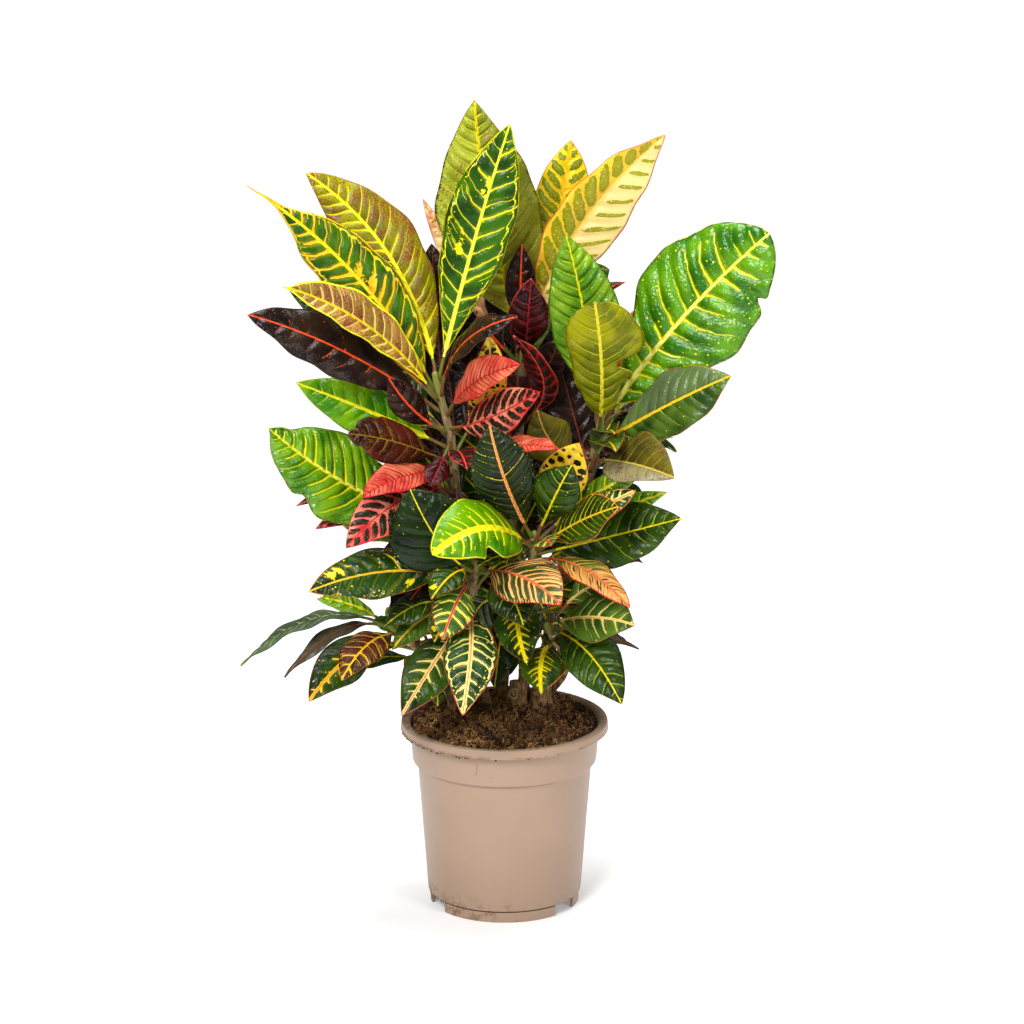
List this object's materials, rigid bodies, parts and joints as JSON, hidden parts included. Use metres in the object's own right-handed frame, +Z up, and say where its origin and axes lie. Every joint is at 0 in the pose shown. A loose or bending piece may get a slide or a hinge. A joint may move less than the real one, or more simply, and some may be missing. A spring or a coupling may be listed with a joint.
{
  "type": "potted croton",
  "caption": "Bushy croton with broad veined leaves in green, yellow, red and dark brown, on woody stems in a round plastic nursery pot with a foot ring.",
  "frame": {"origin": "on the floor under the pot's axis, at the bottom centre of the plant's box", "axes": "+Z up, the front as pictured towards -Y"},
  "size_m": [0.4789, 0.3177, 0.7391],
  "materials": {
    "pot": "satin taupe moulded plastic, fine specks",
    "soil": "rough dark fibrous potting mix",
    "stem": "dull light brown bark with leaf scars",
    "leaf_green": "glossy dark green with yellow veins",
    "leaf_bright": "glossy bright green with yellow veins",
    "leaf_olive": "glossy olive with yellow veins and red specks",
    "leaf_yellow": "glossy yellow with dark green cells",
    "leaf_orange": "glossy orange and peach veins on dark green",
    "leaf_red": "glossy coral red with dark blotches",
    "leaf_maroon": "glossy dark brown-purple with a red-orange midrib"
  },
  "bodies": {
    "root": {"pot": "pot", "soil": "soil", "stem_left": "stem", "stem_right": "stem", "stem_back": "stem", "stem_front": "stem", "stem_low_left": "stem", "stem_low_centre": "stem", "stem_low_right": "stem", "leaf_back_01": "leaf_olive", "leaf_back_02": "leaf_yellow", "leaf_back_03": "leaf_yellow", "leaf_back_04": "leaf_orange", "leaf_back_05": "leaf_olive", "leaf_back_06": "leaf_green", "leaf_back_07": "leaf_bright", "leaf_back_08": "leaf_maroon", "leaf_back_09": "leaf_green", "leaf_back_10": "leaf_green", "leaf_right_01": "leaf_green", "leaf_right_02": "leaf_olive", "leaf_right_03": "leaf_bright", "leaf_right_04": "leaf_green", "leaf_right_05": "leaf_green", "leaf_right_06": "leaf_olive", "leaf_right_07": "leaf_maroon", "leaf_right_08": "leaf_red", "leaf_right_09": "leaf_green", "leaf_left_01": "leaf_green", "leaf_left_02": "leaf_olive", "leaf_left_03": "leaf_green", "leaf_left_04": "leaf_olive", "leaf_left_05": "leaf_maroon", "leaf_left_06": "leaf_green", "leaf_left_07": "leaf_bright", "leaf_left_08": "leaf_green", "leaf_left_09": "leaf_bright", "leaf_left_10": "leaf_maroon", "leaf_left_11": "leaf_red", "leaf_left_12": "leaf_red", "leaf_left_13": "leaf_maroon", "leaf_left_14": "leaf_red", "leaf_left_15": "leaf_bright", "leaf_front_01": "leaf_bright", "leaf_front_02": "leaf_green", "leaf_front_03": "leaf_yellow", "leaf_front_04": "leaf_green", "leaf_front_05": "leaf_green", "leaf_front_06": "leaf_orange", "leaf_low_centre_01": "leaf_green", "leaf_low_centre_02": "leaf_green", "leaf_low_centre_03": "leaf_orange", "leaf_low_centre_04": "leaf_green", "leaf_low_centre_05": "leaf_green", "leaf_low_left_01": "leaf_green", "leaf_low_left_02": "leaf_green", "leaf_low_left_03": "leaf_maroon", "leaf_low_right_01": "leaf_green", "leaf_low_right_02": "leaf_green", "leaf_low_right_03": "leaf_yellow"}
  },
  "joints": []
}
